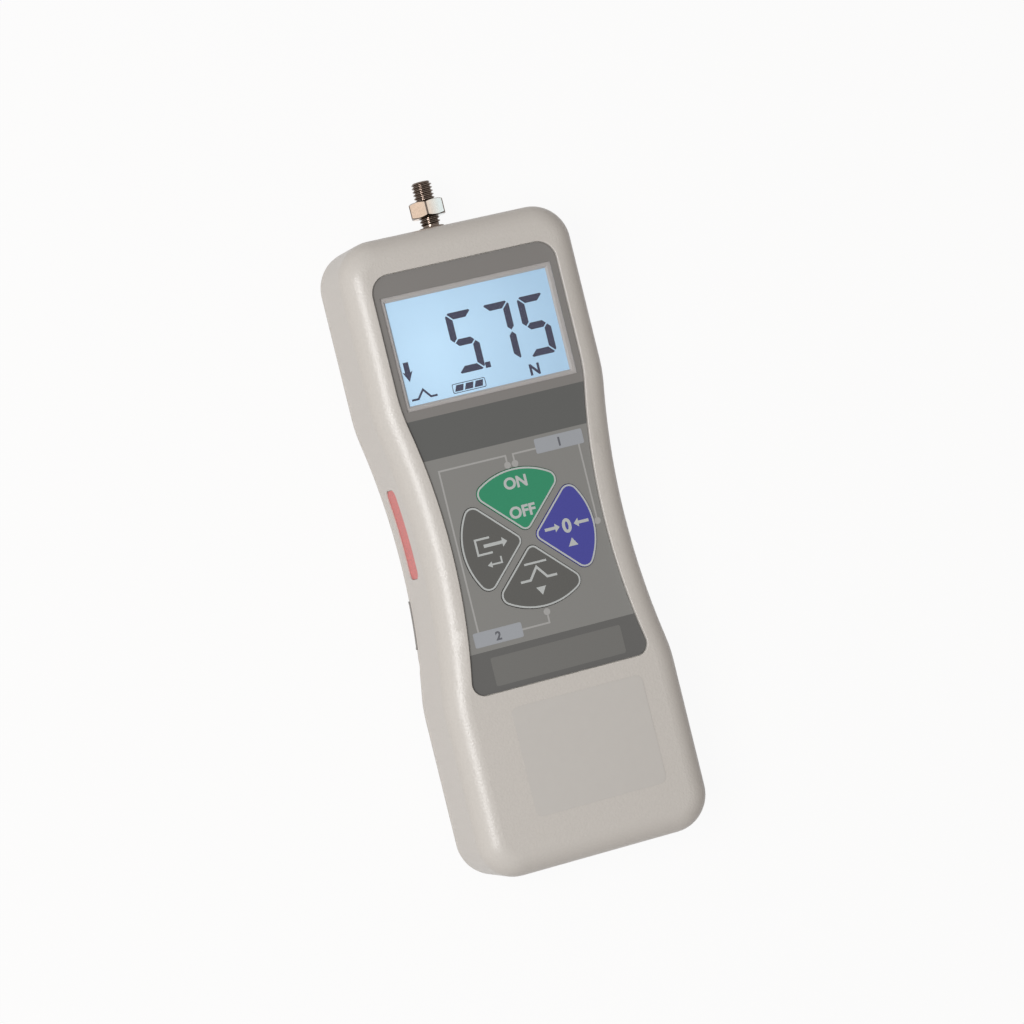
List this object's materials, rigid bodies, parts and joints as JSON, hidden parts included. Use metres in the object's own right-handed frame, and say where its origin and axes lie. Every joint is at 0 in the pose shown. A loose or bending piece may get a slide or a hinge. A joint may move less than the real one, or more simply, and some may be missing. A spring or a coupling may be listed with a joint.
{
  "type": "force gauge",
  "caption": "Handheld digital force gauge with a waisted case, lit display, four petal keys and a threaded measuring shaft with a hexagon lock nut.",
  "frame": {"origin": "centre of the four mounting holes, on the flat back of the case", "axes": "+Z out of the display, +Y along the measuring shaft towards its tip, +X to the right of the keys as they are read"},
  "size_m": [0.071, 0.2014, 0.0341],
  "materials": {
    "case_paint": "fine satin paint",
    "panel_print": "printed sheet",
    "clear_plastic": "clear gloss",
    "bezel_plastic": "satin",
    "liquid_crystal": "lit display",
    "light_guide": "milky",
    "contact_rubber": "matt",
    "circuit_board": "solder mask",
    "black_plastic": "satin",
    "key_green": "satin",
    "key_blue": "satin",
    "key_grey": "satin",
    "plated_steel": "nickel plate",
    "steel": "turned",
    "aluminium": "milled",
    "gauge_film": "foil on film",
    "battery_sleeve": "shrink sleeve",
    "lead_sleeve": "soft",
    "brass": "turned",
    "badge_red": "satin"
  },
  "bodies": {
    "housing": {"front_case": "case_paint", "rear_case": "case_paint", "panel_overlay": "panel_print", "display_lens": "clear_plastic", "display_bezel": "bezel_plastic", "display_glass": "liquid_crystal", "display_backlight": "light_guide", "display_contact_strips": "contact_rubber", "main_board": "circuit_board", "board_screws": "steel", "board_chips": "black_plastic", "key_switches": "black_plastic", "shaft_bush": "black_plastic", "load_cell": "aluminium", "strain_gauges": "gauge_film", "load_cell_bracket": "aluminium", "bracket_screws": "steel", "load_cell_bolt": "steel", "load_cell_flex": "gauge_film", "flex_socket": "black_plastic", "battery_cells": "battery_sleeve", "battery_tray": "black_plastic", "battery_plug": "black_plastic", "battery_leads": "lead_sleeve", "connector_board": "circuit_board", "connector_board_screws": "steel", "output_connector": "black_plastic", "power_jack": "black_plastic", "connector_frame": "black_plastic", "board_link": "black_plastic", "case_screws": "steel", "mounting_inserts": "brass", "side_badge": "badge_red", "clear_film": "clear_plastic"},
    "on_off_key": {"key_on_off": "key_green", "on_off_switch_button": "black_plastic"},
    "send_key": {"key_send": "key_grey", "send_switch_button": "black_plastic"},
    "peak_key": {"key_peak": "key_grey", "peak_switch_button": "black_plastic"},
    "zero_key": {"key_zero": "key_blue", "zero_switch_button": "black_plastic"},
    "shaft": {"measuring_shaft": "steel"},
    "nut": {"lock_nut": "plated_steel"}
  },
  "joints": [
    {"name": "on_off_press", "type": "slide", "parent": "housing", "child": "on_off_key", "axis": [0, 0, -1], "range_m": [0, 0.0005], "stiffness_N_per_m": 150, "springref_m": -0.004},
    {"name": "send_press", "type": "slide", "parent": "housing", "child": "send_key", "axis": [0, 0, -1], "range_m": [0, 0.0005], "stiffness_N_per_m": 150, "springref_m": -0.004},
    {"name": "peak_press", "type": "slide", "parent": "housing", "child": "peak_key", "axis": [0, 0, -1], "range_m": [0, 0.0005], "stiffness_N_per_m": 150, "springref_m": -0.004},
    {"name": "zero_press", "type": "slide", "parent": "housing", "child": "zero_key", "axis": [0, 0, -1], "range_m": [0, 0.0005], "stiffness_N_per_m": 150, "springref_m": -0.004},
    {"name": "shaft_slide", "type": "slide", "parent": "housing", "child": "shaft", "axis": [0, 1, 0], "range_m": [-0.0003, 0.0003], "stiffness_N_per_m": 1500, "deforming": ["load_cell"]},
    {"name": "nut_turn", "type": "hinge", "parent": "shaft", "child": "nut", "pos_m": [0, 0.1, 0.0132], "axis": [0, 1, 0], "continuous": true}
  ]
}
